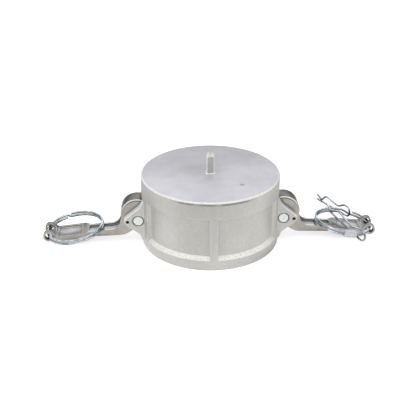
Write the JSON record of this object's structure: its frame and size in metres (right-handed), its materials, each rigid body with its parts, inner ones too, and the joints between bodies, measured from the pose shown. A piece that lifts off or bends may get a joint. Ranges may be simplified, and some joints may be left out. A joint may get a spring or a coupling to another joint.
{
  "type": "camlock dust cap",
  "caption": "Cast dust cap for a male cam and groove hose adapter, pulled on by opposed cam levers with split finger rings; spring safety clips hang on one ring.",
  "frame": {"origin": "centre of the cup's open mouth, in the plane of its rim", "axes": "+Z from the mouth to the closed end, +X along the levers towards the ring that carries the clips"},
  "size_m": [0.2624, 0.1137, 0.0723],
  "materials": {
    "cast_steel": "bead-blasted casting",
    "gasket_rubber": "moulded rubber",
    "polished_casting": "tumbled casting",
    "pin_steel": "turned bar",
    "plated_wire": "bright spring wire",
    "sleeve_aluminium": "crimped and matt"
  },
  "bodies": {
    "cap": {"cap_body": "cast_steel", "gasket": "gasket_rubber", "left_pivot_pin": "pin_steel", "right_pivot_pin": "pin_steel"},
    "left_cam_lever": {"left_lever": "polished_casting"},
    "right_cam_lever": {"right_lever": "polished_casting"},
    "left_finger_ring": {"left_ring": "plated_wire"},
    "right_finger_ring": {"right_ring": "plated_wire", "crimp_sleeve": "sleeve_aluminium"},
    "upper_safety_clip": {"upper_clip": "plated_wire"},
    "lower_safety_clip": {"lower_clip": "plated_wire"}
  },
  "joints": [
    {"name": "left_lever_close", "type": "hinge", "parent": "cap", "child": "left_cam_lever", "pos_m": [-0.0564, 0, 0.0221], "axis": [0, 1, 0], "range_deg": [0, 90]},
    {"name": "right_lever_close", "type": "hinge", "parent": "cap", "child": "right_cam_lever", "pos_m": [0.0564, 0, 0.0221], "axis": [0, -1, 0], "range_deg": [0, 90]},
    {"name": "left_ring_swing", "type": "hinge", "parent": "left_cam_lever", "child": "left_finger_ring", "pos_m": [-0.1271, 0, 0.0071], "axis": [0, -1, 0], "range_deg": [0, 330]},
    {"name": "right_ring_swing", "type": "hinge", "parent": "right_cam_lever", "child": "right_finger_ring", "pos_m": [0.1271, 0, 0.0071], "axis": [0, 1, 0], "range_deg": [0, 300]},
    {"name": "upper_clip_swing", "type": "hinge", "parent": "right_finger_ring", "child": "upper_safety_clip", "pos_m": [0.11378, 0.02047, 0.00829], "axis": [0.9313, -0.3412, -0.1276], "range_deg": [-60, 90]},
    {"name": "lower_clip_swing", "type": "hinge", "parent": "right_finger_ring", "child": "lower_safety_clip", "pos_m": [0.11508, -0.02005, 0.00974], "axis": [0.9075, 0.3909, -0.1538], "range_deg": [0, 120]}
  ]
}
